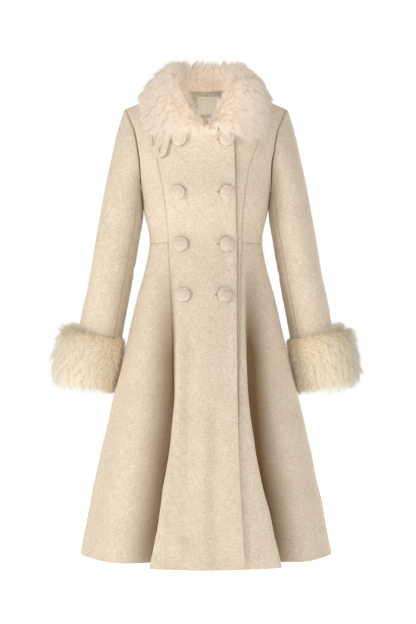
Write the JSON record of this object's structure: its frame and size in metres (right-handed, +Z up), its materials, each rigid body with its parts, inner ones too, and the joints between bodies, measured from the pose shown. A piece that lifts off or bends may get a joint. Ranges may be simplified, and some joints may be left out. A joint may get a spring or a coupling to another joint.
{
  "type": "long double-breasted coat",
  "caption": "Flared wool coat with princess seams, a fur collar, fur cuffs and two columns of covered buttons, hollow as when worn.",
  "frame": {"origin": "between the shoulders, level with the neck seam at the nape", "axes": "+Z up, the front faces -Y, +X to the wearer's left"},
  "size_m": [0.7266, 0.4369, 1.1678],
  "materials": {
    "wool": "heathered wool cloth, matt",
    "button_cloth": "smooth cloth cover, matt",
    "collar_fur": "long soft fur",
    "cuff_fur": "long soft fur",
    "label": "plain woven label"
  },
  "bodies": {
    "root": {"right_front_centre": "wool", "right_front_side_bodice": "wool", "right_front_side_skirt": "wool", "right_back_side_bodice": "wool", "right_back_side_skirt": "wool", "right_upper_sleeve": "wool", "right_under_sleeve": "wool", "right_fur_cuff": "cuff_fur", "right_button_1": "button_cloth", "right_button_2": "button_cloth", "right_button_3": "button_cloth", "right_button_4": "button_cloth", "left_front_centre": "wool", "left_front_side_bodice": "wool", "left_front_side_skirt": "wool", "left_back_side_bodice": "wool", "left_back_side_skirt": "wool", "left_upper_sleeve": "wool", "left_under_sleeve": "wool", "left_fur_cuff": "cuff_fur", "left_button_1": "button_cloth", "left_button_2": "button_cloth", "left_button_3": "button_cloth", "left_button_4": "button_cloth", "back_centre": "wool", "throat_tab": "wool", "fur_collar": "collar_fur", "neck_label": "label", "size_tab": "label"}
  },
  "joints": []
}
